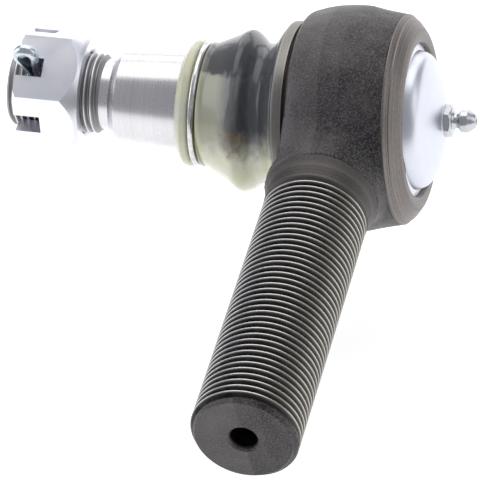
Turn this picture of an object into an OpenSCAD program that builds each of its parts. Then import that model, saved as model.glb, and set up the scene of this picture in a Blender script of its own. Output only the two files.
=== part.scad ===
// Heavy-duty tie rod end: forged socket with a threaded shank, ball stud, dust boot, slotted nut.
// Millimetres. The origin is the ball centre. +X runs along the socket axis towards the end cap,
// the threaded shank points along -Y, and +Z completes the frame.

/* [Shank] */
// Major diameter of the shank thread
shank_d = 28.575; // [24:0.005:32]
// Pitch of the shank thread
shank_pitch = 2.1167; // [1.5:0.0001:2.5]
// Distance from the ball centre to the shank's end face
shank_len = 126; // [100:1:160]
// Distance from the ball centre to the start of the thread
shank_thread_start = 41; // [36:0.5:60]
// Diameter of the flat inside the chamfer of the end face
shank_face_d = 25.4; // [18:0.1:26]
// Diameter of the tapped centre hole in the end face
centre_hole_d = 7.2; // [5:0.1:10]
// Depth of the tapped centre hole
centre_hole_depth = 18; // [8:1:30]

/* [Socket] */
// Largest diameter of the forged socket
socket_d = 62; // [58:0.5:76]
// Diameter of the bore that holds the two bearing seats
seat_bore_d = 44; // [40:0.5:46]
// Length of the seat bore from the front wall to the cap's flange
seat_bore_len = 28.6; // [28:0.1:34]
// Thickness of the wall in front of the upper seat
front_wall = 3; // [2.5:0.1:4]
// Diameter of the snout that carries the boot
snout_d = 46.4; // [46:0.1:48]
// Length of the snout in front of the forging
snout_len = 3.5; // [3:0.1:4]
// Thickness of the rolled lip over the cap
lip_t = 1.4; // [1:0.1:2]
// Radial overlap of the rolled lip on the cap's flange
lip_overlap = 2.5; // [1.5:0.1:3]

/* [Ball stud] */
// Diameter of the ball
ball_d = 36; // [34:0.5:37]
// Diameter of the neck in front of the ball
neck_d = 20; // [17:0.5:21]
// Diameter of the taper at its large end, under the boot's collar
taper_d = 27.5; // [25:0.1:29]
// Change of the taper's diameter for each millimetre of its length
taper_rate = 0.104; // [0.08:0.001:0.125]
// Distance from the ball centre to the taper's small end
taper_end = 63; // [58:0.5:68]
// Major diameter of the stud thread
stud_thread_d = 22.225; // [18:0.005:23]
// Pitch of the stud thread
stud_pitch = 1.814; // [1.25:0.001:2]
// Length of the thread that stands out past the nut
stud_past_nut = 3.7; // [2:0.1:12]
// Angle between the stud and the socket axis at rest, nut end raised
rest_tilt = 5.4; // [0:0.1:8]

/* [Slotted nut] */
// Width across the flats of the nut
nut_af = 32; // [30:0.5:38]
// Height of the nut
nut_h = 17.8; // [15:0.1:26]
// Distance from the taper's small end to the nut's bearing face
nut_gap = 9.5; // [6:0.1:14]
// Width of the nut's six slots
slot_w = 5.5; // [4.8:0.1:6.5]
// Depth of the nut's six slots
slot_depth = 7.3; // [6:0.1:9]
// Turn of the nut and the cotter pin about the stud
nut_turn = 29; // [0:1:60]

/* [Cotter pin] */
// Diameter of the closed pin
pin_d = 3.6; // [3:0.1:4.2]
// Inner diameter of the eye
eye_d = 3.8; // [3:0.1:5]
// Distance from the stud axis to the middle of the eye
eye_reach = 19.4; // [18:0.1:24]
// Lean of the eye over the nut, away from the shank
eye_lean = 20; // [0:1:30]
// Radial clearance of the pin in its hole
pin_clear = 0.15; // [0.1:0.01:0.3]

/* [Boot] */
// Largest diameter of the boot's bulge
boot_d = 45; // [43:0.5:48]
// Wall of the boot
boot_wall = 1.6; // [1.2:0.1:1.8]
// Distance from the ball centre to the collar's free end
collar_end = 45.1; // [44:0.1:48]
// Height of the collar's flange above the stud
collar_rim = 3.9; // [3:0.1:5]
// Wire diameter of the ring in the collar's groove
neck_wire_d = 2; // [1.6:0.1:2.2]
// Width of the ring that holds the boot on the snout
retainer_w = 3; // [2.5:0.1:3.2]
// Wall of the ring that holds the boot on the snout
retainer_t = 0.9; // [0.7:0.1:1.2]

/* [Cap and grease fitting] */
// Diameter of the cap's dome at its foot
dome_d = 38; // [34:0.5:39]
// Height of the dome above the cap's flange
dome_h = 8.4; // [8:0.1:10]
// Radius of the dome's crown
crown_r = 37; // [30:1:50]
// Wall of the cap
cap_t = 1.8; // [1.5:0.1:2]
// Wire diameter of the preload spring
spring_wire_d = 2.6; // [2:0.1:2.8]
// Width across the flats of the grease fitting
fitting_af = 7.94; // [7:0.01:9]
// Diameter of the grease fitting's head
fitting_head_d = 6.4; // [6:0.1:6.6]
// Length of the grease fitting outside the cap
fitting_len = 8.4; // [8:0.1:10]

/* [Fits] */
// Radial clearance of the ball in its seats
ball_clear = 0.04; // [0.02:0.01:0.1]
// Radial clearance of the sliding lower seat in the seat bore
seat_clear = 0.06; // [0.03:0.01:0.1]
// Room behind the lower seat for wear, taken up by the preload spring
seat_float = 0.8; // [0.5:0.1:1]
// Gap between rubber pieces and the metal beside them
soft_gap = 0.3; // [0.2:0.05:0.4]
// Radial clearance of the thread of the grease fitting and the stud
thread_clear = 0.05; // [0.03:0.01:0.1]

/* [Hidden] */
$fn = 96;
overcut = 0.01;

// Seats and ball
ball_r = ball_d/2;
ball_flat_x = ball_r - 3.5;
neck_r = neck_d/2;
bore_r = seat_bore_d/2;
front_x = -11;
upper_seat_end = -0.5;
upper_lip_x = -9.5;
upper_lip_r = sqrt(pow(ball_r + ball_clear, 2) - pow(upper_lip_x, 2));
seat_mouth_r = upper_lip_r + 1.3;
lower_seat_start = 0.8;
flange_x = front_x + seat_bore_len;
lower_seat_end = flange_x - seat_float - 0.1;

// Socket
socket_r = socket_d/2;
snout_r = snout_d/2;
snout_x = front_x - front_wall;
face_x = snout_x + snout_len;
face_r = socket_r - 4.3;
flange_t = 2;
flange_r = bore_r + 1.6;
lip_r = flange_r - lip_overlap;
back_x = flange_x + flange_t + lip_t;
throat_r = seat_mouth_r + 0.4;
boss_fillet = 9;
boss_end = 33.5;
boss_r = shank_d/2 + 1.4;
boss_root_r = boss_r + boss_fillet*(1 - cos(45));

// Stud
taper_start = 37.5;
taper_end_r = taper_d/2 - (taper_end - taper_start)*taper_rate/2;
neck_end = -22;
shoulder_x = -31;
stud_r = stud_thread_d/2;
undercut_r = stud_r - 1.1;
nut_face_x = -(taper_end + nut_gap);
nut_end_x = nut_face_x - nut_h;
stud_end_x = nut_end_x - stud_past_nut;
thread_in_x = -(taper_end + 3.4);

// Nut and pin
nut_corner_r = nut_af/sqrt(3);
nut_face_r = nut_af/2 - 0.7;
pin_x = nut_end_x + slot_depth - pin_d/2 - 1.2;
pin_r = pin_d/2;
pin_split = 0.04;
leg_bend_r = pin_r + 0.8;
leg_end = nut_af/2 + 2.2;

// Boot and its rings
boot_r = boot_d/2;
collar_x = -collar_end;
groove_x = collar_x + 5;
crest_x = -27.2;
lean_start = 14;
lean_run = 22;
groove_r = neck_wire_d/2 + 0.2;
collar_bore = taper_d/2 + soft_gap;
collar_r = collar_bore + collar_rim - soft_gap;
retainer_x = face_x - 1.1 - retainer_w;
retainer_bore = snout_r + boot_wall + 2*soft_gap;
retainer_r = retainer_bore + retainer_t;
boss_relief_r = retainer_r + 0.7;

// Cap and fitting
dome_r = dome_d/2;
fitting_seat_r = fitting_af/sqrt(3) + 0.2;
cap_top = flange_x + flange_t + dome_h;
fitting_thread_r = 3.1;
grease_hole_r = 0.7;
valve_clear = 0.08;
head_r = fitting_head_d/2;
tip_x = cap_top + fitting_len;
hex_h = 2;
check_ball_r = 1.2;
check_ball_x = tip_x - 1.7;
spring_mean_r = 9;
spring_end = crown_x(spring_mean_r + spring_wire_d/2, cap_t);

function lerp(a, b, t) = a + (b - a)*t;

function smooth(t) = t <= 0 ? 0 : t >= 1 ? 1 : t*t*(3 - 2*t);

// Points of an arc about a centre, from angle a0 to a1
function arc(centre, r, a0, a1, n = 6) =
  [for (i = [0:n]) centre + r*[cos(lerp(a0, a1, i/n)), sin(lerp(a0, a1, i/n))]];

// Station of the dome's crown at a radius, pulled in by inset; it is flat under the grease fitting
function crown_x(r, inset) =
  cap_top - inset - crown_r + sqrt(pow(crown_r, 2) - pow(max(r, fitting_seat_r), 2))
  + crown_r - sqrt(pow(crown_r, 2) - pow(fitting_seat_r, 2));

// Outline of [radius, height] steps for annular grooves cut like a thread, from z0 to z1
function groove_steps(z0, z1, r, pitch) =
  let (land = pitch*0.2, root = pitch*0.12, flank = (pitch - land - root)/2)
  [for (i = [0:floor((z1 - z0)/pitch) - 1], k = [0:3])
    [k < 2 ? r : r - 0.58*pitch,
     z0 + i*pitch + [0, land, land + flank, land + flank + root][k]]];

// Turn an outline of [x, radius] points about the X axis
module turned(points) {
  rotate([0, 90, 0])
    rotate_extrude()
      polygon([for (p = points) [p[1], p[0]]]);
}

// Cylinder or cone along X between two stations
module rod(x0, x1, r0, r1 = -1) {
  translate([x0, 0, 0])
    rotate([0, 90, 0])
      cylinder(h = x1 - x0, r1 = r0, r2 = r1 < 0 ? r0 : r1);
}

// Hexagonal prism along X with one flat facing +Z
module hex_rod(x0, x1, af) {
  translate([x0, 0, 0])
    rotate([0, 90, 0])
      rotate([0, 0, 30])
        cylinder(h = x1 - x0, r = af/sqrt(3), $fn = 6);
}

// Ring of round wire about the X axis
module wire_ring(x, mean_r, wire_r) {
  translate([x, 0, 0])
    rotate([0, 90, 0])
      rotate_extrude()
        translate([mean_r, 0])
          circle(r = wire_r, $fn = 32);
}

// Coil of round wire about X, from x0 to x1
module coil(x0, x1, mean_r, wire_r, turns, sides = 8, steps = 16) {
  count = turns*steps;
  rings = [for (i = [0:count], k = [0:sides - 1])
    let (a = 360*i/steps, b = 360*k/sides, r = mean_r + wire_r*cos(b))
    [lerp(x0, x1, i/count) + wire_r*sin(b), r*cos(a), r*sin(a)]];
  walls = [for (i = [0:count - 1], k = [0:sides - 1])
    [i*sides + k, i*sides + (k + 1) % sides, (i + 1)*sides + (k + 1) % sides, (i + 1)*sides + k]];
  first = [for (k = [sides - 1:-1:0]) k];
  last = [for (k = [0:sides - 1]) count*sides + k];
  polyhedron(rings, concat([first], walls, [last]));
}

// The stud, nut, pin and collar ring share the stud axis, which stands at rest_tilt
module on_stud_axis() {
  rotate([0, rest_tilt, 0])
    children();
}

// Outer outline of the forged socket, from the snout to the rolled lip
function socket_outline() = concat(
  [[snout_x, 0], [snout_x, snout_r - 0.7], [snout_x + 0.7, snout_r], [face_x, snout_r]],
  arc([face_x + 3.2, face_r], 3.2, 180, 100),
  [[-3.4, socket_r - 0.3], [0, socket_r], [6, socket_r], [back_x - 11.5, socket_r - 0.9],
   [back_x - 4.1, socket_r - 2.2], [back_x - 2.7, socket_r - 3.2], [back_x - 0.6, socket_r - 5.7],
   [back_x, socket_r - 6.8], [back_x, 0]]);

// Outline of the shank from inside the socket to its end face, as [radius, distance]
function shank_outline() = concat(
  [[0, 0], [boss_root_r, 0]],
  arc([boss_r + boss_fillet, boss_end], boss_fillet, 225, 180, 8),
  [[boss_r - 0.4, boss_end], [shank_d/2, shank_thread_start]],
  groove_steps(shank_thread_start, shank_len - (shank_d - shank_face_d)/2, shank_d/2, shank_pitch),
  [[shank_d/2, shank_len - (shank_d - shank_face_d)/2], [shank_face_d/2, shank_len], [0, shank_len]]);

module housing() {
  color([0.36, 0.34, 0.34])
    difference() {
      union() {
        turned(socket_outline());
        difference() {
          rotate([90, 0, 0])
            rotate_extrude()
              polygon(shank_outline());
          rod(-shank_d, face_x, boss_relief_r);
        }
      }
      rod(snout_x - overcut, front_x + overcut, throat_r + 1.2, throat_r);
      rod(front_x, flange_x + overcut, bore_r);
      rod(flange_x, back_x - lip_t, flange_r);
      rod(back_x - lip_t - overcut, back_x + overcut, lip_r);
      translate([0, -shank_len - overcut, 0])
        rotate([-90, 0, 0])
          cylinder(h = centre_hole_depth, d = centre_hole_d);
      translate([0, -shank_len + centre_hole_depth - 2*overcut, 0])
        rotate([-90, 0, 0])
          cylinder(h = centre_hole_d*0.3, d1 = centre_hole_d, d2 = 0);
    }
}

// Stud from its threaded end to the neck, as [x, radius]
function stud_outline() = concat(
  [[stud_end_x, 0], [stud_end_x, stud_r - 1.2], [stud_end_x + 1.2, stud_r]],
  [for (p = groove_steps(stud_end_x + 1.4, thread_in_x, stud_r, stud_pitch)) [p[1], p[0]]],
  [[thread_in_x, stud_r], [thread_in_x + 0.5, undercut_r], [-taper_end - 1.7, undercut_r],
   [-taper_end, taper_end_r], [-taper_start, taper_d/2], [shoulder_x, taper_d/2],
   [neck_end, neck_r], [0, neck_r], [0, 0]]);

module ball_stud() {
  color([0.72, 0.72, 0.73])
    on_stud_axis()
      difference() {
        union() {
          turned(stud_outline());
          sphere(r = ball_r);
        }
        translate([ball_flat_x, -ball_r, -ball_r])
          cube([ball_r, ball_d, ball_d]);
        rotate([nut_turn, 0, 0])
          translate([pin_x, 0, 0])
            cylinder(h = stud_thread_d + 2, r = pin_r + pin_clear, center = true);
      }
}

module upper_seat() {
  color([0.82, 0.78, 0.66])
    difference() {
      rod(front_x, upper_seat_end, bore_r);
      sphere(r = ball_r + ball_clear);
      rod(front_x - overcut, upper_lip_x + 0.5, seat_mouth_r, upper_lip_r - 0.3);
    }
}

module lower_seat() {
  color([0.82, 0.78, 0.66])
    difference() {
      rod(lower_seat_start, lower_seat_end, bore_r - seat_clear);
      sphere(r = ball_r + ball_clear);
    }
}

module preload_spring() {
  color([0.5, 0.5, 0.52])
    coil(lower_seat_end + spring_wire_d/2 + overcut, spring_end - spring_wire_d/2 - 0.05, spring_mean_r,
         spring_wire_d/2, 2.25);
}

// Outer face of the cap's dome, as [x, radius], pulled in by inset
function dome_outline(inset) = concat(
  [[flange_x + flange_t + 0.6, dome_r - inset], [cap_top - 5.4, dome_r - 1 - inset]],
  [for (k = [0:7])
    let (r = lerp(dome_r - 2.4 - inset, fitting_seat_r, k/7))
    [crown_x(r, inset), r]],
  [[cap_top - inset, 0]]);

module end_cap() {
  color([0.86, 0.87, 0.9])
    difference() {
      turned(concat([[flange_x, 0], [flange_x, flange_r], [flange_x + flange_t, flange_r]],
                    [[flange_x + flange_t, dome_r + 0.6]], dome_outline(0)));
      turned(concat([[flange_x - overcut, 0], [flange_x - overcut, dome_r - cap_t]], dome_outline(cap_t)));
      rod(cap_top - 4, cap_top + 1, fitting_thread_r + thread_clear);
    }
}

module grease_fitting() {
  color([0.8, 0.81, 0.84])
    difference() {
      union() {
        rod(cap_top - 3, cap_top + 1, fitting_thread_r);
        hex_rod(cap_top, cap_top + hex_h, fitting_af);
        turned([[cap_top + hex_h - overcut, 0], [cap_top + hex_h - overcut, 3], [cap_top + hex_h + 0.7, 2],
                [cap_top + hex_h + 1.3, 2], [cap_top + hex_h + 2.2, head_r], [tip_x - 2.4, head_r],
                [tip_x - 0.5, 2.2], [tip_x, 1.7], [tip_x, 0]]);
      }
      rod(cap_top - 4, tip_x + 1, grease_hole_r);
      rod(cap_top, check_ball_x, check_ball_r + valve_clear);
      translate([check_ball_x, 0, 0])
        sphere(r = check_ball_r + valve_clear, $fn = 48);
    }
}

module check_ball() {
  color([0.75, 0.75, 0.77])
    translate([check_ball_x, 0, 0])
      sphere(r = check_ball_r, $fn = 48);
}

module check_spring() {
  color([0.6, 0.6, 0.62])
    coil(cap_top + 0.3, check_ball_x - check_ball_r - 0.3, 0.9, 0.22, 4, steps = 12);
}

// Outer side of the boot's wall, from the collar's free end to the bead, as [x, radius]
function boot_outside() = concat(
  [[collar_x, collar_bore + 0.9], [collar_x + 0.9, collar_r - 1], [collar_x + 2, collar_r],
   [collar_x + 3.6, collar_r], [groove_x - neck_wire_d/2, collar_r - 0.9]],
  arc([groove_x, collar_r - 1.2], groove_r, 180, 360, 4),
  [[groove_x + 1.3, collar_r - 0.8], [-37, collar_r - 0.4], [-33.5, boot_r - 3.6], [-30.5, boot_r - 1.4]],
  arc([crest_x, boot_r - 4.5], 4.5, 115, 35, 6),
  [[-22.3, boot_r - 2.9], [-20.4, boot_r - 2.7], [-18.9, boot_r - 2.2], [-17, boot_r - 0.2],
   [retainer_x, retainer_bore - 0.1], [retainer_x + retainer_w, retainer_bore - 0.1]]);

// Inner side of the boot's wall, from the bead back to the collar
function boot_inside() =
  [[retainer_x + retainer_w, snout_r + 0.1], [snout_x - 0.4, snout_r + 0.1], [-17, boot_r - 1.9],
   [-19.6, boot_r - 4.2], [-21.6, boot_r - 4.8], [-23.6, boot_r - 3.6], [-25.4, boot_r - 2.3],
   [crest_x, boot_r - boot_wall], [-29.6, boot_r - 2.6], [-33, boot_r - 5.1],
   [-36.6, collar_r - 2], [-38, collar_bore], [collar_x, collar_bore]];

// Share of the stud's rest tilt that the boot takes at a station
function boot_lean(x) = rest_tilt*smooth((-x - lean_start)/lean_run);

module dust_boot() {
  outline = concat(boot_outside(), boot_inside());
  m = len(outline);
  sides = 40;
  points = [for (s = [0:sides - 1], p = outline)
    let (a = 360*s/sides, lean = boot_lean(p[0]), y = p[1]*cos(a), z = p[1]*sin(a))
    [p[0]*cos(lean) + z*sin(lean), y, z*cos(lean) - p[0]*sin(lean)]];
  faces = [for (s = [0:sides - 1], k = [0:m - 1])
    let (t = (s + 1) % sides, j = (k + 1) % m)
    [s*m + k, t*m + k, t*m + j, s*m + j]];
  color([0.86, 0.84, 0.62])
    polyhedron(points, faces);
}

module boot_neck_ring() {
  color([0.85, 0.85, 0.87])
    on_stud_axis()
      wire_ring(groove_x, collar_r - 1.1, neck_wire_d/2);
}

module boot_retaining_ring() {
  color([0.66, 0.63, 0.62])
    difference() {
      rod(retainer_x, retainer_x + retainer_w, retainer_r);
      rod(retainer_x - overcut, retainer_x + retainer_w + overcut, retainer_bore);
    }
}

module slotted_nut() {
  color([0.87, 0.88, 0.91])
    on_stud_axis()
      rotate([nut_turn, 0, 0])
        difference() {
          intersection() {
            hex_rod(nut_end_x, nut_face_x, nut_af);
            turned([[nut_end_x, 0], [nut_end_x, nut_corner_r - 0.8], [nut_end_x + 1.2, nut_corner_r + 0.1],
                    [nut_face_x - 4.6, nut_corner_r + 0.1], [nut_face_x, nut_face_r], [nut_face_x, 0]]);
          }
          rod(nut_end_x - 1, nut_face_x + 1, stud_r + thread_clear);
          for (k = [0:2])
            rotate([60*k, 0, 0])
              translate([nut_end_x - 1, -slot_w/2, -nut_af])
                cube([slot_depth + 1, slot_w, 2*nut_af]);
        }
}

// Path of the folded wire's flat side, as [along the stud, along the pin]: leg, eye, leg
function pin_path() =
  let (eye_r = eye_d/2, skew = -1.5, spread = 75, leg = [pin_split + leg_bend_r, leg_bend_r - leg_end])
  concat(
    [leg + [4, -leg_bend_r]],
    arc(leg, leg_bend_r, 270, 180, 6),
    [[pin_split, 0], [pin_split, stud_r + 1], [pin_split + 0.05, stud_r + 1.6]],
    arc([skew, eye_reach], eye_r, spread - 90, 270 - spread, 14),
    [[-pin_split - 0.05, stud_r + 1.6], [-pin_split, stud_r + 1], [-pin_split, 0]],
    arc([-leg[0], leg[1]], leg_bend_r, 360, 270, 6),
    [[-leg[0] - 3, leg[1] - leg_bend_r]]);

// Direction of a path at one of its points
function heading(path, i) =
  let (d = path[min(i + 1, len(path) - 1)] - path[max(i - 1, 0)])
  d/norm(d);

// Half-round wire on a flat path in XZ, flat side inwards; past bend_z it leans over towards +Y
module half_round(path, r, bend_z, lean, sides = 8) {
  n = len(path);
  m = sides + 1;
  points = [for (i = [0:n - 1], k = [0:sides])
    let (h = heading(path, i), a = 180*k/sides - 90, u = r*cos(a), w = r*sin(a),
         x = path[i][0] + h[1]*u, z = path[i][1] - h[0]*u, over = max(z - bend_z, 0),
         turn = lean*smooth(over/3))
    [x, over*sin(turn) + w*cos(turn), min(z, bend_z) + over*cos(turn) - w*sin(turn)]];
  walls = [for (i = [0:n - 2], k = [0:m - 1])
    [i*m + k, i*m + (k + 1) % m, (i + 1)*m + (k + 1) % m, (i + 1)*m + k]];
  polyhedron(points, concat([[for (k = [m - 1:-1:0]) k]], walls, [[for (k = [0:m - 1]) (n - 1)*m + k]]));
}

// The pin crosses the stud along its +Z, its eye above the nut and its two legs bent apart below
module cotter_pin() {
  color([0.62, 0.68, 0.72])
    on_stud_axis()
      rotate([nut_turn, 0, 0])
        translate([pin_x, 0, 0])
          half_round(pin_path(), pin_r, stud_r + 2.8, eye_lean);
}

housing();
ball_stud();
upper_seat();
lower_seat();
preload_spring();
end_cap();
grease_fitting();
check_ball();
check_spring();
dust_boot();
boot_neck_ring();
boot_retaining_ring();
slotted_nut();
cotter_pin();
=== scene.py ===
from math import ceil, cos, pi, radians, sin, sqrt, tan

import bpy
from mathutils import Euler, Matrix, Vector


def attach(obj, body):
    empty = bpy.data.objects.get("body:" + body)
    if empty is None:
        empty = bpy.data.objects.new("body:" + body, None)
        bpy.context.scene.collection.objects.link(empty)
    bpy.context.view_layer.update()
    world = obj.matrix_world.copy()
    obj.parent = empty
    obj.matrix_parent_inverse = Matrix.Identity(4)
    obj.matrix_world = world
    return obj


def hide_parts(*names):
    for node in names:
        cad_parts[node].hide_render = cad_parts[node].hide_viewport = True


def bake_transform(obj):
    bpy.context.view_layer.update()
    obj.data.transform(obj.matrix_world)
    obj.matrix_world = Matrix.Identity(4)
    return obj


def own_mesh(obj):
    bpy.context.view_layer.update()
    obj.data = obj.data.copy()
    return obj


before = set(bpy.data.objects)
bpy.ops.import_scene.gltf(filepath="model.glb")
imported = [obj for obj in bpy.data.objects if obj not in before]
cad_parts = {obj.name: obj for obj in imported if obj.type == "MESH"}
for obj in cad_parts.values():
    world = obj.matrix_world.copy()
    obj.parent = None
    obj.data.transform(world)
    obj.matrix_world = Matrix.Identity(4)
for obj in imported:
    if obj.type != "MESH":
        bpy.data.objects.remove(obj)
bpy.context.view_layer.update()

mm = 0.001
studTilt = radians(5.4)  # nut end of the stud stands this far above the socket axis
nutTurn = radians(29)  # nut and cotter pin about the stud axis
onSocket = (0, 0, 0)
onStud = (0, studTilt, 0)
onNut = (nutTurn, studTilt, 0)
onShank = (0, 0, radians(-90))  # built along +X, laid along -Y


def clearSelection():
    if bpy.context.object and bpy.context.object.mode != "OBJECT":
        bpy.ops.object.mode_set(mode="OBJECT")
    bpy.ops.object.select_all(action="DESELECT")


def takeUp(piece):
    clearSelection()
    bpy.context.view_layer.objects.active = piece
    piece.select_set(True)


def rounded(outline, steps=4):
    # outline of (station, radius) or (station, radius, corner radius) in mm
    smooth = []
    for i, point in enumerate(outline):
        here = Vector(point[:2])
        if len(point) < 3 or i in (0, len(outline) - 1):
            smooth.append(here)
            continue
        back = Vector(outline[i - 1][:2]) - here
        ahead = Vector(outline[i + 1][:2]) - here
        reach = min(point[2] / tan(back.angle(ahead) / 2), 0.48 * back.length, 0.48 * ahead.length)
        first = here + back.normalized() * reach
        last = here + ahead.normalized() * reach
        for k in range(steps + 1):
            t = k / steps
            smooth.append(first * (1 - t) ** 2 + here * 2 * t * (1 - t) + last * t * t)
    return smooth


def flowing(points, steps=4):
    # smooth curve through all the points
    p = [Vector(points[0])] + [Vector(q) for q in points] + [Vector(points[-1])]
    curve = []
    for i in range(1, len(p) - 2):
        for k in range(steps):
            t = k / steps
            a, b, c, d = p[i - 1], p[i], p[i + 1], p[i + 2]
            curve.append(0.5 * (2 * b + (c - a) * t + (2 * a - 5 * b + 4 * c - d) * t * t
                                + (3 * b - a - 3 * c + d) * t ** 3))
    curve.append(Vector(points[-1]))
    return curve


def drawPath(name, points):
    # one corner pulled out into a line of points, left in edit mode
    clearSelection()
    bpy.ops.mesh.primitive_plane_add(size=mm)
    piece = bpy.context.object
    piece.name = name
    bpy.ops.object.mode_set(mode="EDIT")
    bpy.ops.mesh.select_mode(type="VERT")
    bpy.ops.mesh.select_all(action="SELECT")
    bpy.ops.mesh.merge(type="CENTER")
    bpy.ops.transform.translate(value=points[0])
    for here, there in zip(points, points[1:]):
        bpy.ops.mesh.extrude_region_move(TRANSFORM_OT_translate={"value": there - here})
    return piece


def closeUp(piece):
    bpy.ops.mesh.select_all(action="SELECT")
    bpy.ops.mesh.remove_doubles(threshold=0.002 * mm)
    bpy.ops.mesh.normals_make_consistent(inside=False)
    bpy.ops.object.mode_set(mode="OBJECT")
    return piece


def turned(name, outline, steps=96, place=onSocket):
    path = [Vector((p[0] * mm, 0, p[1] * mm)) for p in outline]
    piece = drawPath(name, path)
    bpy.ops.mesh.select_all(action="SELECT")
    bpy.ops.mesh.spin(steps=steps, angle=2 * pi, center=(0, 0, 0), axis=(1, 0, 0))
    closeUp(piece)
    return put(piece, place)


def put(piece, place):
    takeUp(piece)
    bpy.ops.object.transform_apply(location=True, rotation=True, scale=True)
    piece.rotation_euler = place
    bpy.ops.object.transform_apply(location=True, rotation=True, scale=True)
    return piece


def addModifier(piece, kind, **settings):
    takeUp(piece)
    modifier = piece.modifiers.new(kind.title(), kind)
    for key, value in settings.items():
        setattr(modifier, key, value)
    bpy.ops.object.modifier_apply(modifier=modifier.name)
    return piece


def cut(piece, tool, how="DIFFERENCE"):
    addModifier(piece, "BOOLEAN", operation=how, solver="EXACT", object=tool)
    bpy.data.objects.remove(tool)
    return piece


def joined(pieces, name):
    clearSelection()
    for piece in pieces:
        piece.select_set(True)
    bpy.context.view_layer.objects.active = pieces[0]
    bpy.ops.object.join()
    pieces[0].name = name
    return pieces[0]


def threaded(name, start, end, pitch, crest, depth, limit, steps=60):
    # a real helix: one turn's tooth screwed along X, trimmed to the two end stations
    first = start - 1.5 * pitch
    tooth = [(0, crest - depth), (0.16, crest - depth), (0.46, crest - 0.05 * depth), (0.5, crest),
             (0.62, crest), (0.66, crest - 0.05 * depth), (0.96, crest - depth), (1, crest - depth)]
    piece = drawPath(name, [Vector(((first + u * pitch) * mm, 0, r * mm)) for u, r in tooth])
    bpy.ops.object.mode_set(mode="OBJECT")
    turns = ceil((end - start) / pitch) + 3
    addModifier(piece, "SCREW", axis="X", angle=2 * pi, screw_offset=pitch * mm, iterations=turns,
                steps=steps, render_steps=steps, use_merge_vertices=True, merge_threshold=0.001 * mm)
    for v in piece.data.vertices:
        station = min(max(v.co.x / mm, start), end)
        radius = sqrt(v.co.y ** 2 + v.co.z ** 2) / mm
        wanted = min(radius, limit(station))
        if station in (start, end):
            wanted = limit(station)
        v.co = Vector((station * mm, v.co.y * wanted / radius, v.co.z * wanted / radius))
    takeUp(piece)
    bpy.ops.object.mode_set(mode="EDIT")
    bpy.ops.mesh.select_all(action="SELECT")
    bpy.ops.mesh.remove_doubles(threshold=0.002 * mm)
    bpy.ops.mesh.delete_loose()
    return piece


def rimAt(piece, station, nearRim=0.05):
    # selects the open rim at one end of a piece in edit mode
    bpy.ops.mesh.select_mode(type="EDGE")
    bpy.ops.mesh.select_all(action="DESELECT")
    bpy.ops.mesh.select_non_manifold(extend=False, use_wire=False, use_multi_face=False,
                                     use_non_contiguous=False, use_verts=False)
    bpy.ops.object.mode_set(mode="OBJECT")
    for e in piece.data.edges:
        middle = sum(piece.data.vertices[v].co.x for v in e.vertices) / 2
        if abs(middle - station * mm) > nearRim * mm:
            e.select = False
    bpy.ops.object.mode_set(mode="EDIT")


def carryRim(piece, outline):
    # pulls the selected rim along an outline of (station, radius), closed where the radius is 0
    station, radius = outline[0]
    for there, wanted in outline[1:]:
        bpy.ops.mesh.extrude_region_move(TRANSFORM_OT_translate={"value": ((there - station) * mm, 0, 0)})
        if wanted == 0:
            bpy.ops.mesh.merge(type="COLLAPSE")
        else:
            ratio = wanted / radius
            bpy.ops.transform.resize(value=(1, ratio, ratio), center_override=(there * mm, 0, 0))
        station, radius = there, wanted


def softShade(piece, angle=32):
    takeUp(piece)
    bpy.ops.object.shade_smooth_by_angle(angle=radians(angle))
    return piece


def finishPiece(piece, body, material, slot, *nodes, angle=32):
    softShade(piece, angle)
    piece.data.materials.clear()
    piece.data.materials.append(material)
    if body:
        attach(piece, body)
    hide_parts(*nodes)
    return piece


class Value:
    # a shader socket that takes part in sums
    def __init__(self, tree, socket):
        self.tree = tree
        self.socket = socket

    def maths(self, kind, *others, clamp=False):
        node = self.tree.nodes.new("ShaderNodeMath")
        node.operation = kind
        node.use_clamp = clamp
        for place, other in zip(node.inputs, others):
            if isinstance(other, Value):
                self.tree.links.new(other.socket, place)
            else:
                place.default_value = other
        return Value(self.tree, node.outputs[0])

    def __add__(self, other):
        return self.maths("ADD", self, other)

    def __sub__(self, other):
        return self.maths("SUBTRACT", self, other)

    def __rsub__(self, other):
        return self.maths("SUBTRACT", other, self)

    def __mul__(self, other):
        return self.maths("MULTIPLY", self, other)

    def __pow__(self, other):
        return self.maths("POWER", self, other)

    __radd__ = __add__
    __rmul__ = __mul__

    def clamped(self):
        return self.maths("ADD", self, 0, clamp=True)

    def over(self, low, high):
        # 0 below low, 1 above high
        return self.maths("DIVIDE", self - low, high - low, clamp=True)

    def within(self, low, lowFull, highFull, high):
        # 1 from lowFull to highFull, fading to 0 at low and high
        return self.over(low, lowFull) * (1 - self.over(highFull, high))


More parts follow.
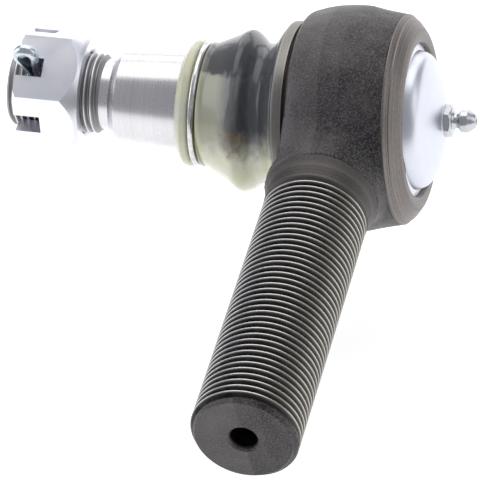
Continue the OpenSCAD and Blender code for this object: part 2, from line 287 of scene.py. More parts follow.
class Finish:
    # one material under construction
    def __init__(self, name, **constants):
        self.material = bpy.data.materials.new(name)
        self.material.use_nodes = True
        self.tree = self.material.node_tree
        self.shader = self.tree.nodes["Principled BSDF"]
        for key, value in constants.items():
            self.shader.inputs[key.replace("_", " ")].default_value = value
        self.place = self.node("ShaderNodeTexCoord", out="Object")

    def node(self, kind, settings=None, out=0, **inputs):
        node = self.tree.nodes.new(kind)
        for key, value in (settings or {}).items():
            setattr(node, key, value)
        for key, value in inputs.items():
            socket = node.inputs[key.replace("_", " ")]
            if isinstance(value, Value):
                self.tree.links.new(value.socket, socket)
            else:
                socket.default_value = value
        return Value(self.tree, node.outputs[out])

    def feed(self, socket, value):
        self.tree.links.new(value.socket, self.shader.inputs[socket])

    def noise(self, size, detail=4, rough=0.5, at=None, stretch=(1, 1, 1), distort=0.0):
        # size: length in mm of one patch
        where = self.node("ShaderNodeMapping", Vector=at or self.place, Scale=stretch)
        return self.node("ShaderNodeTexNoise", Vector=where, Scale=1 / (size * mm), Detail=detail,
                         Roughness=rough, Distortion=distort)

    def split(self, vector):
        node = self.tree.nodes.new("ShaderNodeSeparateXYZ")
        self.tree.links.new(vector.socket, node.inputs[0])
        return [Value(self.tree, s) for s in node.outputs]

    def along(self, place):
        # object coordinates turned into a piece's own axis: (station, across, up)
        turn = Euler(place).to_matrix().inverted().to_euler()
        return self.node("ShaderNodeMapping", Vector=self.place, Rotation=tuple(turn))

    def stationRadius(self, place):
        x, y, z = self.split(self.along(place))
        return x, (y * y + z * z) ** 0.5

    def lathe(self, place, size, detail=3):
        # fine rings that a turning tool leaves: the same all the way round
        station, radius = self.stationRadius(place)
        where = self.node("ShaderNodeCombineXYZ", X=station, Y=radius)
        return self.noise(size, detail, 0.7, where)

    def mix(self, share, first, second):
        node = self.tree.nodes.new("ShaderNodeMix")
        node.data_type = "RGBA"
        for place, value in zip((node.inputs[0], node.inputs[6], node.inputs[7]), (share, first, second)):
            if isinstance(value, Value):
                self.tree.links.new(value.socket, place)
            else:
                place.default_value = value if isinstance(value, float) else (*value, 1)
        return Value(self.tree, node.outputs[2])

    def bump(self, height, depth):
        # depth: mm from the lowest to the highest point
        return self.node("ShaderNodeBump", Height=height, Distance=depth * mm, Strength=1.0)


def forgedFinish():
    look = {
        "pit": (0.004, 0.003, 0.004), "skin": (0.050, 0.043, 0.045), "scale": (0.20, 0.184, 0.188),
        "bands": ((0.0002, 0.8), (0.0058, 0.35)),  # steps left by the dies: place in metres, strength
    }
    f = Finish("forgedSteel", Metallic=0.55, Specular_IOR_Level=0.5, Coat_Weight=0.4, Coat_Roughness=0.36)
    grain = f.noise(0.5, 4, 0.7)
    patches = f.noise(9, 5, 0.6)
    x, y, z = f.split(f.place)
    relief = grain * 0.9 + f.noise(2.2, 4, 0.6) * 0.6
    colour = f.mix(grain.over(0.42, 0.58), look["pit"], look["skin"])
    colour = f.mix(grain.over(0.50, 0.66) * 0.5, colour, look["scale"])
    colour = f.mix(patches.over(0.42, 0.72) * 0.3, colour, look["scale"])
    for station, share in look["bands"]:
        away = x - station + (patches - 0.5) * 0.003 + z * 0.04
        step = away.over(-0.0002, 0.0002)
        colour = f.mix((1 - step) * share * 0.26, colour, look["scale"])
        relief = relief + step * share * 0.5
    f.feed("Base Color", colour)
    f.feed("Roughness", 0.44 + grain * 0.2)
    f.feed("Normal", f.bump(relief, 0.36))
    return f.material


def turnedFinish(name, place, look):
    # ring: mm between the marks of the turning tool, grain and depth in mm
    f = Finish(name, Metallic=look["metal"])
    rings = f.lathe(place, look["ring"])
    broad = f.lathe(place, look["ring"] * 7)
    grit = f.noise(look["grain"], 3, 0.6)
    colour = f.mix((rings * 0.55 + grit * 0.25 + broad * 0.3).over(0.35, 0.8), look["dark"], look["light"])
    f.feed("Base Color", colour)
    f.feed("Roughness", look["rough"] + rings * 0.12 + grit * 0.08 - 0.08)
    f.feed("Normal", f.bump(rings + broad * 0.5 + grit * 0.3, look["depth"]))
    return f.material


def threadFinish(name, place, look):
    # crests worn and painted bright as a highlight over flanks painted dark as shade down in the grooves;
    # oiled: flank and crest colours where oil has dried
    f = Finish(name, Metallic=0.9)
    radius = f.stationRadius(place)[1]
    x, y, z = f.split(f.place)
    height = radius.over((look["crest"] - look["depth"]) * mm, look["crest"] * mm)
    wear = f.noise(2.4, 4, 0.6)
    rings = f.lathe(place, 0.25)
    # painted highlight on the crests, with some wear, over painted shade on the lower flanks
    crestLight = (height ** 9 * 1.25 + wear * 0.2 - 0.08).clamped()
    olive = (x + z * 0.35).over(0.002, 0.013) * 0.75
    dry = f.mix(crestLight, look["flank"], look["wornLitCrest"])
    oily = f.mix(crestLight, *look["oiled"])
    f.feed("Base Color", f.mix(olive, dry, oily))
    f.feed("Roughness", 0.42 - crestLight * 0.16 + wear * 0.14)
    f.feed("Normal", f.bump(rings + wear * 0.4, 0.03))
    return f.material


def zincFinish(name, place, look):
    f = Finish(name, Metallic=1.0)
    grit = f.noise(look["grain"], 5, 0.7)
    cloud = f.noise(6, 3, 0.5)
    tint = f.noise(3.2, 3, 0.5, distort=0.4)
    rings = f.lathe(place, 0.5)
    blue, warm, dull = (tuple(c * k for c, k in zip(look["tone"], cast))
                        for cast in ((0.95, 0.975, 1.01), (1.0, 0.99, 0.985), (0.6, 0.6, 0.6)))
    colour = f.mix(tint.over(0.35, 0.65), blue, warm)
    f.feed("Base Color", f.mix(grit.over(0.6, 0.8) * 0.35, colour, dull))
    f.feed("Roughness", look["rough"] + grit * 0.14 + cloud * 0.1 - 0.08)
    f.feed("Normal", f.bump(grit + rings * 0.35, look["depth"]))
    return f.material


def bootFinish():
    # clear pale urethane with painted shade: darker towards the top and in the groove before the fold,
    # pale at the bottom where it is lit from below, and a painted olive edge on the collar rim; places in
    # metres
    look = {
        "pale": (0.86, 0.87, 0.74), "deep": (0.78, 0.77, 0.52), "midShade": (0.42, 0.42, 0.33),
        "topShade": (0.06, 0.064, 0.078), "shadow": (0.15, 0.155, 0.17), "grease": (0.30, 0.21, 0.10),
        "olive": (0.28, 0.27, 0.12), "rough": 0.17, "through": 0.22,
        "collarEdge": (-0.0375, -0.0362), "crestFoot": (-0.0315, -0.0285), "fold": (-0.0236, -0.0226),
        "groove": (-0.0258, -0.0247), "rim": (-0.0391, -0.0388, -0.0381, -0.0377),
        "shadeRise": (-0.012, -0.006), "grooveRise": (-0.006, -0.003), "topShadeRise": (0.0105, 0.0118),
        "greaseRise": (-0.0135, -0.0105, -0.007, -0.003),
    }
    f = Finish("bootUrethane", Metallic=0.0, IOR=1.5, Transmission_Weight=look["through"],
               Specular_IOR_Level=0.5, Subsurface_Weight=0.3, Subsurface_Scale=2.5 * mm, Coat_Weight=0.3,
               Coat_Roughness=0.06)
    f.shader.inputs["Subsurface Radius"].default_value = (1.0, 0.9, 0.5)
    cloud = f.noise(6, 4, 0.55)
    fine = f.noise(0.8, 4, 0.6)
    smear = f.noise(3.2, 5, 0.62, distort=0.8)
    streak = f.noise(1.6, 3, 0.5, stretch=(3.0, 0.6, 0.6))
    x, y, z = f.split(f.place)
    rise = z * 0.77 + y * 0.64 + (f.noise(4.0, 2, 0.5) - 0.5) * 0.008  # up and away from the shank
    body = x.over(*look["collarEdge"])
    crest = x.over(*look["crestFoot"])
    fold = x.over(*look["fold"])
    colour = f.mix(cloud.over(0.3, 0.7), look["pale"], look["deep"])
    # painted shade: the boot darkens upward, with a darker painted shadow over the crest
    shade = rise.over(*look["shadeRise"]) * body
    colour = f.mix(shade * 0.85, colour, look["midShade"])
    colour = f.mix(shade * crest * (streak * 0.5 + 0.6), colour, look["shadow"])
    patch = smear.over(0.44, 0.58) * crest * (1 - fold) * rise.within(*look["greaseRise"])
    colour = f.mix(patch * 0.8, colour, look["grease"])
    # painted shade in the groove between the crest and the fold, on its upper side
    groove = x.over(*look["groove"]) * rise.over(*look["grooveRise"])
    # painted shade: darkest towards the top of the boot and in the groove
    dark = (rise.over(*look["topShadeRise"]) + groove * 0.8) * body
    colour = f.mix(dark.clamped() * 0.9, colour, look["topShade"])
    # painted olive edge on the collar rim, standing in for light bent through the thick urethane
    f.feed("Base Color", f.mix(x.within(*look["rim"]) * 0.8, colour, look["olive"]))
    f.feed("Roughness", look["rough"] + fine * 0.1 + patch * 0.15)
    f.feed("Normal", f.bump(cloud + fine * 0.4, 0.012))
    return f.material


def resinFinish():
    f = Finish("seatResin", Metallic=0.0, Subsurface_Weight=0.1, Subsurface_Scale=1.0 * mm)
    grit = f.noise(0.4, 4, 0.6)
    cloud = f.noise(5, 3, 0.5)
    f.feed("Base Color", f.mix(cloud, (0.72, 0.67, 0.54), (0.84, 0.81, 0.70)))
    f.feed("Roughness", 0.38 + grit * 0.2)
    f.feed("Normal", f.bump(grit, 0.02))
    return f.material


def wireFinish(name, dark, light, rough):
    f = Finish(name, Metallic=1.0)
    grit = f.noise(0.25, 4, 0.65)
    streak = f.noise(1.6, 4, 0.6, distort=0.5)
    f.feed("Base Color", f.mix((grit * 0.5 + streak * 0.5).over(0.35, 0.65), dark, light))
    f.feed("Roughness", rough + grit * 0.16 - 0.05)
    f.feed("Normal", f.bump(grit + streak, 0.012))
    return f.material


turnedLooks = {
    "lip": {"dark": (0.060, 0.050, 0.046), "light": (0.36, 0.33, 0.31), "rough": 0.38, "ring": 0.4,
            "metal": 0.9, "depth": 0.08, "grain": 0.5},
    "neck": {"dark": (0.030, 0.026, 0.025), "light": (0.20, 0.185, 0.178), "rough": 0.52, "ring": 0.7,
             "metal": 0.7, "depth": 0.06, "grain": 0.45},
    "stud": {"dark": (0.60, 0.59, 0.61), "light": (0.86, 0.85, 0.87), "rough": 0.25, "ring": 0.3,
             "metal": 1.0, "depth": 0.012, "grain": 0.3},
    "retainer": {"dark": (0.13, 0.125, 0.115), "light": (0.42, 0.40, 0.375), "rough": 0.36, "ring": 0.5,
                 "metal": 1.0, "depth": 0.04, "grain": 0.3},
}
threadLooks = {
    "shank": {"crest": 14.2875, "depth": 1.23, "flank": (0.020, 0.017, 0.018), "wornLitCrest": (0.66, 0.64, 0.64),
              "oiled": ((0.085, 0.08, 0.065), (0.50, 0.48, 0.43))},
    "stud": {"crest": 11.11, "depth": 1.05, "flank": (0.34, 0.33, 0.34), "wornLitCrest": (0.82, 0.81, 0.82),
             "oiled": ((0.34, 0.33, 0.34), (0.82, 0.81, 0.82))},
}
zincLooks = {
    "nut": {"tone": (0.88, 0.88, 0.93), "rough": 0.30, "grain": 0.4, "depth": 0.035},
    "cap": {"tone": (0.72, 0.735, 0.79), "rough": 0.30, "grain": 0.35, "depth": 0.03},
    "fitting": {"tone": (0.60, 0.61, 0.62), "rough": 0.20, "grain": 0.15, "depth": 0.006},
}
forgedSteel = forgedFinish()
lipSteel = turnedFinish("lipSteel", onSocket, turnedLooks["lip"])
bossSteel = turnedFinish("bossSteel", onShank, turnedLooks["neck"])
studSteel = turnedFinish("studSteel", onStud, turnedLooks["stud"])
retainerSteel = turnedFinish("retainerSteel", onSocket, turnedLooks["retainer"])
shankSteel = threadFinish("shankThreadSteel", onShank, threadLooks["shank"])
studThreadSteel = threadFinish("studThreadSteel", onStud, threadLooks["stud"])
zincNut = zincFinish("zincNut", onNut, zincLooks["nut"])
zincCap = zincFinish("zincCap", onSocket, zincLooks["cap"])
zincFitting = zincFinish("zincFitting", onSocket, zincLooks["fitting"])
bootUrethane = bootFinish()
seatResin = resinFinish()
springWire = wireFinish("springWire", (0.16, 0.16, 0.17), (0.42, 0.42, 0.44), 0.32)
ringWire = wireFinish("ringWire", (0.55, 0.55, 0.56), (0.88, 0.88, 0.88), 0.16)
pinWire = wireFinish("pinWire", (0.42, 0.52, 0.60), (0.80, 0.83, 0.84), 0.22)
ballSteel = wireFinish("ballSteel", (0.7, 0.7, 0.72), (0.85, 0.85, 0.86), 0.08)
print("finishes mixed")


# socket: forged skin, turned snout and rolled lip; outlines are (station, radius, corner radius) in mm

forging = {
    "outer": [(-10.5, 26.8), (-9.4, 29.0), (-6.3, 30.0), (-3, 30.75), (0, 31.0), (6, 31.0), (9.5, 30.2),
              (13.1, 29.5), (17.0, 28.8)],
    "wall": 24.4,  # the turned inside starts here
    "neck": [(6, 0), (6, 20.5), (22, 20.5), (26.0, 18.6), (28.5, 17.2), (31.0, 16.2), (33.3, 15.75),
             (33.9, 15.1), (33.9, 0)],
    "relief": 33.0,  # room for the boot and its band
    # where the neck meets the socket
    "bend": {"x": (-9.5, 16), "y": (-32.8, -18), "fromShank": (15.9, 26), "passes": 40},
    "dents": {"size": 7, "height": 0.30},
    "skin": 0.55,  # size of the skin's mesh
    "sides": 128,
}
outer = flowing(forging["outer"], 3)
front, rear = forging["outer"][0][0], forging["outer"][-1][0]
socket = turned("housing_forging", [(front, 0)] + outer + [(rear, 0)], forging["sides"])
neck = turned("forgedNeck", forging["neck"], 96, onShank)


def cutRelief(piece, face):
    reach = forging["relief"]
    return cut(piece, turned("bootRelief", [(-30, 0), (-30, reach), (face, reach), (face, 0)]))


cutRelief(neck, front)
cut(socket, neck, "UNION")
addModifier(socket, "REMESH", mode="VOXEL", voxel_size=forging["skin"] * mm)
bend = forging["bend"]
bendGroup = socket.vertex_groups.new(name="bend")
for v in socket.data.vertices:
    fromShank = sqrt(v.co.x ** 2 + v.co.z ** 2) / mm
    places = ((v.co.x / mm, bend["x"]), (v.co.y / mm, bend["y"]), (fromShank, bend["fromShank"]))
    if all(least < place < most for place, (least, most) in places):
        bendGroup.add([v.index], 1.0, "REPLACE")
addModifier(socket, "SMOOTH", factor=0.5, iterations=bend["passes"], vertex_group="bend")
dents = bpy.data.textures.new("forgingDents", "CLOUDS")
dents.noise_scale = forging["dents"]["size"] * mm
dents.noise_depth = 3
addModifier(socket, "DISPLACE", texture=dents, strength=forging["dents"]["height"] * mm, mid_level=0.8,
            texture_coords="LOCAL")
wall = forging["wall"]
hollow = [(front - 1.5, 0), (front - 1.5, wall), (rear + 1, wall), (rear + 1, 0)]
cut(socket, turned("forgingHollow", hollow, forging["sides"]))
finishPiece(socket, "socket", forgedSteel, "forged_steel", "housing", angle=40)

snoutAndLip = {
    "snout": [(-14, 18.2, 0.3), (-14, 23.2, 0.7), (-10.3, 23.2), (-10.3, 24.8)],
    "lip": [(16.6, 24.8), (16.6, 28.7, 0.3), (17.1, 28.75, 0.2), (18.0, 27.9, 0.3), (18.2, 27.55, 0.2),
            (18.5, 27.6, 0.2), (19.5, 26.4, 0.6), (20.5, 25.0, 0.8), (21.0, 23.4, 0.8), (21.0, 22.0, 0.6),
            (20.7, 21.15, 0.3), (19.7, 21.1)],
    "bore": [(19.7, 23.6), (17.6, 23.6), (17.6, 22), (-11, 22), (-11, 17.1), (-14, 18.2)],
}
snoutOutline = rounded(snoutAndLip["snout"] + snoutAndLip["lip"] + snoutAndLip["bore"])
turnedPart = turned("housing_turned", snoutOutline, forging["sides"])
finishPiece(turnedPart, "socket", lipSteel, "forged_steel", "housing")

# threaded shank, built along +X and laid along -Y

shank = {
    "neck": [(25, 0), (25, 15.6), (33.4, 15.45), (34.6, 14.95), (36.4, 14.6), (38.6, 14.42),
             (40.6, 14.35, 0.2), (41.4, 13.2, 0.2), (45, 12.9), (45, 0)],
    "thread": (40.4, 126.0),
    "pitch": 2.1167,
    "crest": threadLooks["shank"]["crest"],
    "depth": threadLooks["shank"]["depth"],
    "startRadius": 13.1,
    "endRadius": 12.7,
    "runIn": 0.75,  # rise of the first turns for each mm of length
    "faceFrom": -124.6,  # the end face past here has the forging's skin
    "neckFace": -10.7,
    "end": [(126.0, 12.7), (126.0, 4.3), (125.5, 3.75), (124.8, 3.6), (108, 3.6), (106.6, 0)],
}


def shankLimit(station):
    start, end = shank["thread"]
    return min(shank["crest"], shank["startRadius"] + (station - start) * shank["runIn"],
               shank["endRadius"] + (end - station))


threadStart, threadEnd = shank["thread"]
thread = threaded("housing_thread", threadStart, threadEnd, shank["pitch"], shank["crest"], shank["depth"],
                  shankLimit)
rimAt(thread, threadEnd)
carryRim(thread, shank["end"])
rimAt(thread, threadStart)
carryRim(thread, [(threadStart, shank["startRadius"]), (threadStart, 10), (threadStart, 0)])
closeUp(thread)
put(thread, onShank)
finishPiece(thread, "socket", shankSteel, "forged_steel", "housing")
thread.data.materials.append(forgedSteel)
for face in thread.data.polygons:
    if face.center.y < shank["faceFrom"] * mm:
        face.material_index = 1
shankNeck = turned("housing_neck", rounded(shank["neck"]), 96, onShank)
cutRelief(shankNeck, shank["neckFace"])
finishPiece(shankNeck, "socket", bossSteel, "forged_steel", "housing")
print("housing ready")

# ball stud, built along the socket axis and leaned by its tilt

stud = {
    "thread": (-94.0, -67.9),
    "pitch": 1.814,
    "crest": threadLooks["stud"]["crest"],
    "depth": threadLooks["stud"]["depth"],
    "startRadius": 9.9,
    "endRadius": 9.95,
    "runOut": 1.2,  # fall of the last turns for each mm of length
    "hollowEnd": [(-94.0, 9.9), (-94.0, 3.0), (-93.4, 2.0), (-93.0, 0)],
    "pinHole": {"station": -86.0, "radius": 1.95},
    "body": [(-68.2, 0), (-68.2, 9.85, 0.2), (-65.2, 9.85, 0.3), (-64.9, 11.1, 0.2), (-63.2, 12.3, 0.4),
             (-62.6, 12.45), (-37.5, 13.75), (-36.8, 13.5), (-29, 10, 3), (-14.0, 10, 1.5)],
    "ball": 18.0,
    "ballArc": (146, 36.3, 30),  # degrees at the neck and at the flat, steps between them
    "flat": 14.5,
}


def studLimit(station):
    start, end = stud["thread"]
    return min(stud["crest"], stud["startRadius"] + (station - start),
               stud["endRadius"] + (end - station) * stud["runOut"])


studStart, studEnd = stud["thread"]
studThread = threaded("stud_thread", studStart, studEnd, stud["pitch"], stud["crest"], stud["depth"],
                      studLimit, 48)
rimAt(studThread, studStart)
carryRim(studThread, stud["hollowEnd"])
rimAt(studThread, studEnd)
carryRim(studThread, [(studEnd, stud["endRadius"]), (studEnd, 6), (studEnd, 0)])
closeUp(studThread)
clearSelection()
pinHole = stud["pinHole"]
bpy.ops.mesh.primitive_cylinder_add(vertices=32, radius=pinHole["radius"] * mm, depth=30 * mm,
                                    location=(pinHole["station"] * mm, 0, 0), rotation=(nutTurn, 0, 0))
cut(studThread, bpy.context.object)
put(studThread, onStud)
finishPiece(studThread, "stud", studThreadSteel, "stud_steel", "ball_stud")
ballRadius = stud["ball"]
arcStart, arcEnd, arcSteps = stud["ballArc"]
arcTurns = [radians(arcStart - k * (arcStart - arcEnd) / arcSteps) for k in range(arcSteps + 1)]
ballArc = [Vector((ballRadius * cos(a), ballRadius * sin(a))) for a in arcTurns]
shape = rounded(stud["body"])[:-1] + ballArc + [Vector((stud["flat"], 0))]
studBody = turned("stud_body", shape, 96, onStud)
finishPiece(studBody, "stud", studSteel, "stud_steel", "ball_stud")
print("stud ready")

# nut with six slots in its outer end

nut = {
    "flats": 32.0,
    "ends": (-90.3, -72.5),
    "crown": [(-92, 0), (-92, 17.4), (-90.3, 17.6), (-89.2, 18.6), (-76.9, 18.6, 0.8), (-73.4, 16.1, 0.8),
              (-72.5, 15.3), (-72.5, 14.6), (-71, 14.0), (-71, 0)],
    "slot": (5.5, 7.3),  # width and depth
    "bore": [(-95, 0), (-95, 14), (-91.9, 12.9), (-89.3, 11.25), (-73.6, 11.25), (-72, 12.9), (-70, 13),
             (-70, 0)],
    "edge": 0.35,
}
clearSelection()
left, right = nut["ends"]
bpy.ops.mesh.primitive_cylinder_add(vertices=6, radius=nut["flats"] / sqrt(3) * mm,
                                    depth=(right - left) * mm, location=((left + right) / 2 * mm, 0, 0),
                                    rotation=(0, pi / 2, 0))
nutBody = bpy.context.object
nutBody.name = "slotted_nut_body"
put(nutBody, onSocket)
cut(nutBody, turned("nutCrown", rounded(nut["crown"]), 96), "INTERSECT")
cut(nutBody, turned("nutBore", nut["bore"], 64))
width, depth = nut["slot"]
for k in range(3):
    clearSelection()
    bpy.ops.mesh.primitive_cube_add(size=1, location=((left + depth / 2 - 1) * mm, 0, 0),
                                    rotation=(radians(60 * k), 0, 0),
                                    scale=((depth + 2) * mm, width * mm, 60 * mm))
    cut(nutBody, bpy.context.object)
addModifier(nutBody, "BEVEL", width=nut["edge"] * mm, segments=3, limit_method="ANGLE",
            angle_limit=radians(38))
put(nutBody, onNut)
finishPiece(nutBody, "stud", zincNut, "zinc_nut", "slotted_nut", angle=10)
print("nut ready")

# cotter pin: half-round wire folded flat side to flat side

pin = {
    "station": stud["pinHole"]["station"],
    "wire": 1.8,
    "sides": 12,  # round half of the wire
    "split": 0.04,
    "bend": 2.6,
    "leg": 18.2,
    "eye": (-1.5, 19.4, 1.9),  # place across, place along, inside radius
    "lean": radians(20),
    "leanFrom": 13.5,
    "leanRun": 3,
}


def pinPath():
    # flat side of the folded wire, as (along the stud, along the pin) in mm
    split, bend, leg = pin["split"], pin["bend"], pin["leg"]
    across, reach, inner = pin["eye"]
    turnIn = [(split + bend + 4, -leg), (split + bend + 2, -leg)]
    quarter = [radians(15 * k) for k in range(7)]
    turnIn += [(split + bend * (1 - sin(a)), bend - leg - bend * cos(a)) for a in quarter]
    turnIn += [(split, -12), (split, -6), (split, 0), (split, 6), (split, 11), (split + 0.03, 12.2)]
    circling = [radians(-15 + 14 * k) for k in range(16)]
    eye = [(across + inner * cos(a), reach + inner * sin(a)) for a in circling]
    turnOut = [(-x, z) for x, z in reversed(turnIn)]
    turnOut[-1] = (turnOut[-1][0] + 1, turnOut[-1][1])
    return turnIn + eye + turnOut


def sweepPin():
    clearSelection()
    r = pin["wire"]
    flat = [Vector(p) for p in pinPath()]
    sides = pin["sides"]
    half = [radians(-90 + 180 * k / sides) for k in range(sides + 1)]
    profile = [(r * cos(a), r * sin(a)) for a in half]
    rings = []
    for i, here in enumerate(flat):
        heading = (flat[min(i + 1, len(flat) - 1)] - flat[max(i - 1, 0)]).normalized()
        ring = []
        for out, aside in profile:
            x = here.x + heading.y * out
            z = here.y - heading.x * out
            over = max(z - pin["leanFrom"], 0)
            t = min(over / pin["leanRun"], 1)
            turn = pin["lean"] * t * t * (3 - 2 * t)
            ring.append(((pin["station"] + x) * mm, (over * sin(turn) + aside * cos(turn)) * mm,
                         (min(z, pin["leanFrom"]) + over * cos(turn) - aside * sin(turn)) * mm))
        rings.append(ring)
    around = len(profile)
    corners = [p for ring in rings for p in ring]
    faces = []
    for i in range(len(rings) - 1):
        near, far = i * around, (i + 1) * around
        faces += [[near + k, near + (k + 1) % around, far + (k + 1) % around, far + k]
                  for k in range(around)]
    faces += [list(range(around)), [len(corners) - around + k for k in range(around)]]
    mesh = bpy.data.meshes.new("cotter_pin_wire")
    mesh.from_pydata(corners, [], faces)
    piece = bpy.data.objects.new("cotter_pin_wire", mesh)
    bpy.context.collection.objects.link(piece)
    takeUp(piece)
    bpy.ops.object.mode_set(mode="EDIT")
    return closeUp(piece)


pinPiece = sweepPin()
addModifier(pinPiece, "BEVEL", width=0.12 * mm, segments=2, limit_method="ANGLE", angle_limit=radians(50))
put(pinPiece, onNut)
finishPiece(pinPiece, "stud", pinWire, "pin_steel", "cotter_pin", angle=40)
print("cotter pin ready")

# dust boot in two halves that meet at the parting

boot = {
    "wall": 1.5,
    "lower": [(-11.8, 25.3), (-14.7, 25.4), (-15.7, 24.9), (-17.3, 22.9), (-18.8, 20.9), (-20.4, 19.9),
              (-22.2, 19.5), (-23.4, 19.9), (-24.4, 20.6)],
    "upper": [(-24.4, 20.6), (-25.6, 21.6), (-27.3, 22.4), (-28.9, 21.9), (-30.4, 20.9), (-32.2, 19.8),
              (-34.7, 18.5), (-36.8, 17.5)],
    "collar": [(-37.6, 17.2, 0.4), (-38.7, 17.3, 0.4), (-39.0, 16.2, 0.3), (-39.3, 15.6, 0.3),
               (-40.9, 15.6, 0.3), (-41.2, 16.9, 0.3), (-41.6, 17.6, 0.5), (-43.2, 17.6, 0.7),
               (-44.3, 16.4, 0.8), (-45.1, 14.9, 0.4), (-45.1, 14.1, 0.2), (-38.2, 14.15, 1.5)],
    "leanFrom": 14.0,
    "leanRun": 22.0,
}


def inwards(curve, wall):
    inner = []
    for i, here in enumerate(curve):
        way = (curve[min(i + 1, len(curve) - 1)] - curve[max(i - 1, 0)]).normalized()
        inner.append(here + Vector((-way.y, way.x)) * wall)
    return inner[::-1]


def leanOver(piece):
    # rings lean from the socket axis over to the stud axis
    for v in piece.data.vertices:
        t = min(max((-v.co.x / mm - boot["leanFrom"]) / boot["leanRun"], 0), 1)
        v.co = Matrix.Rotation(studTilt * t * t * (3 - 2 * t), 3, "Y") @ v.co
    return piece


lowerCurve = flowing(boot["lower"], 4)
upperCurve = flowing(boot["upper"], 4)
lowerInner = inwards(lowerCurve, boot["wall"])
upperInner = inwards(upperCurve, boot["wall"])
lowerBoot = turned("dust_boot_lower", lowerCurve + lowerInner + lowerCurve[:1], 96)
upperBoot = turned("dust_boot_upper",
                   upperCurve + rounded(boot["collar"]) + upperInner + upperCurve[:1], 96)
for half in (lowerBoot, upperBoot):
    leanOver(half)
    finishPiece(half, None, bootUrethane, "boot_urethane", "dust_boot", angle=45)


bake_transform(lowerBoot)
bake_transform(upperBoot)

ring = {"station": -40.1, "middle": 16.7, "wire": 0.9}
clearSelection()
bpy.ops.mesh.primitive_torus_add(major_segments=96, minor_segments=16, major_radius=ring["middle"] * mm,
                                 minor_radius=ring["wire"] * mm, location=(ring["station"] * mm, 0, 0),
                                 rotation=(0, pi / 2, 0))
neckRing = bpy.context.object
neckRing.name = "boot_neck_wire"
put(neckRing, onStud)
finishPiece(neckRing, "collar", ringWire, "ring_steel", "boot_neck_ring", angle=60)

retainer = {
    "band": [(-14.6, 25.45), (-14.6, 26.3, 0.25), (-13.1, 26.35, 0.4), (-11.6, 26.3, 0.25),
             (-11.6, 25.45, 0.1), (-14.6, 25.45)],
}
band = turned("boot_retaining_band", rounded(retainer["band"]), 128)
finishPiece(band, "socket", retainerSteel, "retainer_steel", "boot_retaining_ring")
print("boot ready")

# pressed cap and grease fitting

cap = {
    "flange": [(17.6, 23.5), (19.6, 23.5, 0.1), (19.6, 20.6, 0.4)],
    "dome": [(20.2, 19.1), (22.1, 18.4), (23.3, 17.5), (24.1, 16.2), (24.9, 14.2), (26.0, 11.2),
             (27.0, 7.9), (27.7, 4.9), (28.0, 4.6)],
    "inside": [(28.0, 3.15), (26.2, 3.15), (26.2, 4.4), (25.0, 8.5), (23.6, 12.2), (22.4, 15.0),
               (20.6, 16.6), (17.6, 17.2), (17.6, 23.5)],
}
capOutline = rounded(cap["flange"]) + flowing(cap["dome"], 4) + rounded(cap["inside"])
capShell = turned("end_cap_shell", capOutline, 128)
finishPiece(capShell, "socket", zincCap, "zinc_cap", "end_cap", angle=40)

fitting = {
    "flats": 7.94,
    "base": (28.0, 30.0),
    "crown": [(27, 0), (27, 4.2), (28.0, 4.45), (29.3, 4.6), (30.0, 3.7), (30.4, 3.2), (30.4, 0)],
    "head": [(29.6, 0), (29.6, 3.0, 0.4), (30.5, 2.2, 0.4), (31.1, 2.0, 0.3), (31.6, 2.2, 0.3),
             (32.3, 3.2, 0.4), (34.2, 3.2, 0.5), (35.6, 2.3, 0.4), (36.3, 1.75, 0.2), (36.4, 1.4),
             (36.3, 0.9, 0.1), (35.6, 0.8), (35.4, 0)],
    "stem": [(25.1, 0), (25.1, 3.0, 0.3), (28.2, 3.05), (28.2, 0)],
}
clearSelection()
low, high = fitting["base"]
bpy.ops.mesh.primitive_cylinder_add(vertices=6, radius=fitting["flats"] / sqrt(3) * mm,
                                    depth=(high - low) * mm, location=((low + high) / 2 * mm, 0, 0),
                                    rotation=(0, pi / 2, 0))
hexBase = bpy.context.object
put(hexBase, onSocket)
cut(hexBase, turned("fittingCrown", fitting["crown"], 64), "INTERSECT")
addModifier(hexBase, "BEVEL", width=0.12 * mm, segments=2, limit_method="ANGLE", angle_limit=radians(35))
head = turned("grease_fitting_head", rounded(fitting["head"]), 64)
stem = turned("grease_fitting_stem", rounded(fitting["stem"]), 48)
nipple = joined([head, hexBase, stem], "grease_fitting_body")
finishPiece(nipple, "socket", zincFitting, "fitting_steel", "grease_fitting", angle=16)

# hidden springs: wound coils
springs = {
    "preload_spring": {"from": 18.02, "to": 23.70, "middle": 9.0, "wire": 1.3, "turns": 2.25,
                       "joint": "seat_float", "anchor": 25.0, "travel": 0.8},
    "check_spring": {"from": 28.3, "to": 33.2, "middle": 0.9, "wire": 0.22, "turns": 4,
                     "joint": "check_ball_lift", "anchor": 28.08, "travel": 0.8},
}
for node, spring in springs.items():
    clearSelection()
    bpy.ops.mesh.primitive_circle_add(vertices=12, radius=spring["wire"] * mm, rotation=(pi / 2, 0, 0),
                                      location=(spring["from"] * mm, 0, spring["middle"] * mm))
    coil = bpy.context.object
    coil.name = node + "_coil"
    put(coil, onSocket)
    windings = int(spring["turns"] * 32)
    addModifier(coil, "SCREW", axis="X", angle=2 * pi * spring["turns"], steps=windings,
                render_steps=windings, screw_offset=(spring["to"] - spring["from"]) * mm)
    bpy.ops.object.mode_set(mode="EDIT")
    bpy.ops.mesh.select_all(action="SELECT")
    bpy.ops.mesh.fill_holes(sides=0)
    closeUp(coil)
    finishPiece(coil, "socket", springWire, "spring_steel", node, angle=50)
    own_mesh(coil)

# the other hidden parts keep their own shape and take their finishes
hidden = {"upper_seat": seatResin, "lower_seat": seatResin, "check_ball": ballSteel}
for node, material in hidden.items():
    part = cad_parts[node]
    part.data.materials.clear()
    part.data.materials.append(material)
print("cap, fitting and inner parts ready")

# studio: pale floor, four soft panels and the camera

studio = {
    "floorDrop": 0.060,  # metres below the ball
    "floorSize": 6.0,
    "floorGlow": 0.50,
    "air": 0.42,
    "airColour": (0.84, 0.85, 0.90, 1),
}


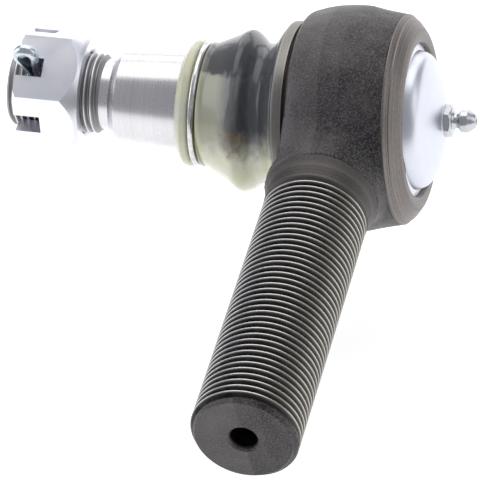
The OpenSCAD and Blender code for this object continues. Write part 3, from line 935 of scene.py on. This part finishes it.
def paleFloor():
    f = Finish("paleFloor", Metallic=0.0, Emission_Color=(1, 1, 1, 1),
               Emission_Strength=studio["floorGlow"])
    grain = f.noise(30, 3, 0.5)
    f.feed("Base Color", f.mix(grain, (0.90, 0.90, 0.90), (0.93, 0.93, 0.93)))
    f.feed("Roughness", 0.7 + grain * 0.1)
    return f.material


clearSelection()
bpy.ops.mesh.primitive_plane_add(size=studio["floorSize"], location=(0, 0, -studio["floorDrop"]))
floor = bpy.context.object
floor.name = "floor"
floor.data.materials.append(paleFloor())


def panel(name, place, size, power, colour=(1, 1, 1)):
    clearSelection()
    bpy.ops.object.light_add(type="AREA", location=place)
    lamp = bpy.context.object
    lamp.name = name
    lamp.data.shape = "RECTANGLE"
    lamp.data.size, lamp.data.size_y = size
    lamp.data.energy = power
    lamp.data.color = colour
    lamp.rotation_euler = (-Vector(place)).to_track_quat("-Z", "Y").to_euler()
    return lamp


panel("topPanel", (-0.05, 0.62, 1.2), (1.8, 1.2), 10, (1, 0.995, 0.985))
panel("leftPanel", (-1.3, -0.1, 0.55), (0.9, 1.1), 5, (0.96, 0.98, 1))
panel("rightPanel", (1.3, 0.1, 0.6), (0.9, 1.1), 2.6, (0.98, 0.99, 1))
panel("backPanel", (-0.1, 1.5, 0.5), (1.8, 0.8), 6)

world = bpy.context.scene.world or bpy.data.worlds.new("studioAir")
bpy.context.scene.world = world
world.use_nodes = True
world.node_tree.nodes["Background"].inputs["Color"].default_value = studio["airColour"]
world.node_tree.nodes["Background"].inputs["Strength"].default_value = studio["air"]
bpy.context.scene.view_settings.view_transform = "Standard"

view = {"azimuth": radians(20.96), "elevation": radians(40.26), "roll": radians(-11.9), "distance": 1.1349,
        "right": -0.0292, "up": -0.0334, "lens": 311.0}
a, e, r = view["azimuth"], view["elevation"], view["roll"]
back = Vector((sin(a) * cos(e), -cos(a) * cos(e), sin(e)))
level = Vector((cos(a), sin(a), 0))
upright = back.cross(level)
right = level * cos(r) + upright * sin(r)
up = upright * cos(r) - level * sin(r)
clearSelection()
bpy.ops.object.camera_add()
camera = bpy.context.object
stand = back * view["distance"] + right * view["right"] + up * view["up"]
facing = Matrix((right, up, back)).transposed().to_4x4()
camera.matrix_world = Matrix.Translation(stand) @ facing
camera.data.lens = view["lens"]
camera.data.sensor_width = 36
camera.data.clip_end = 20
bpy.context.scene.camera = camera
print("studio ready")
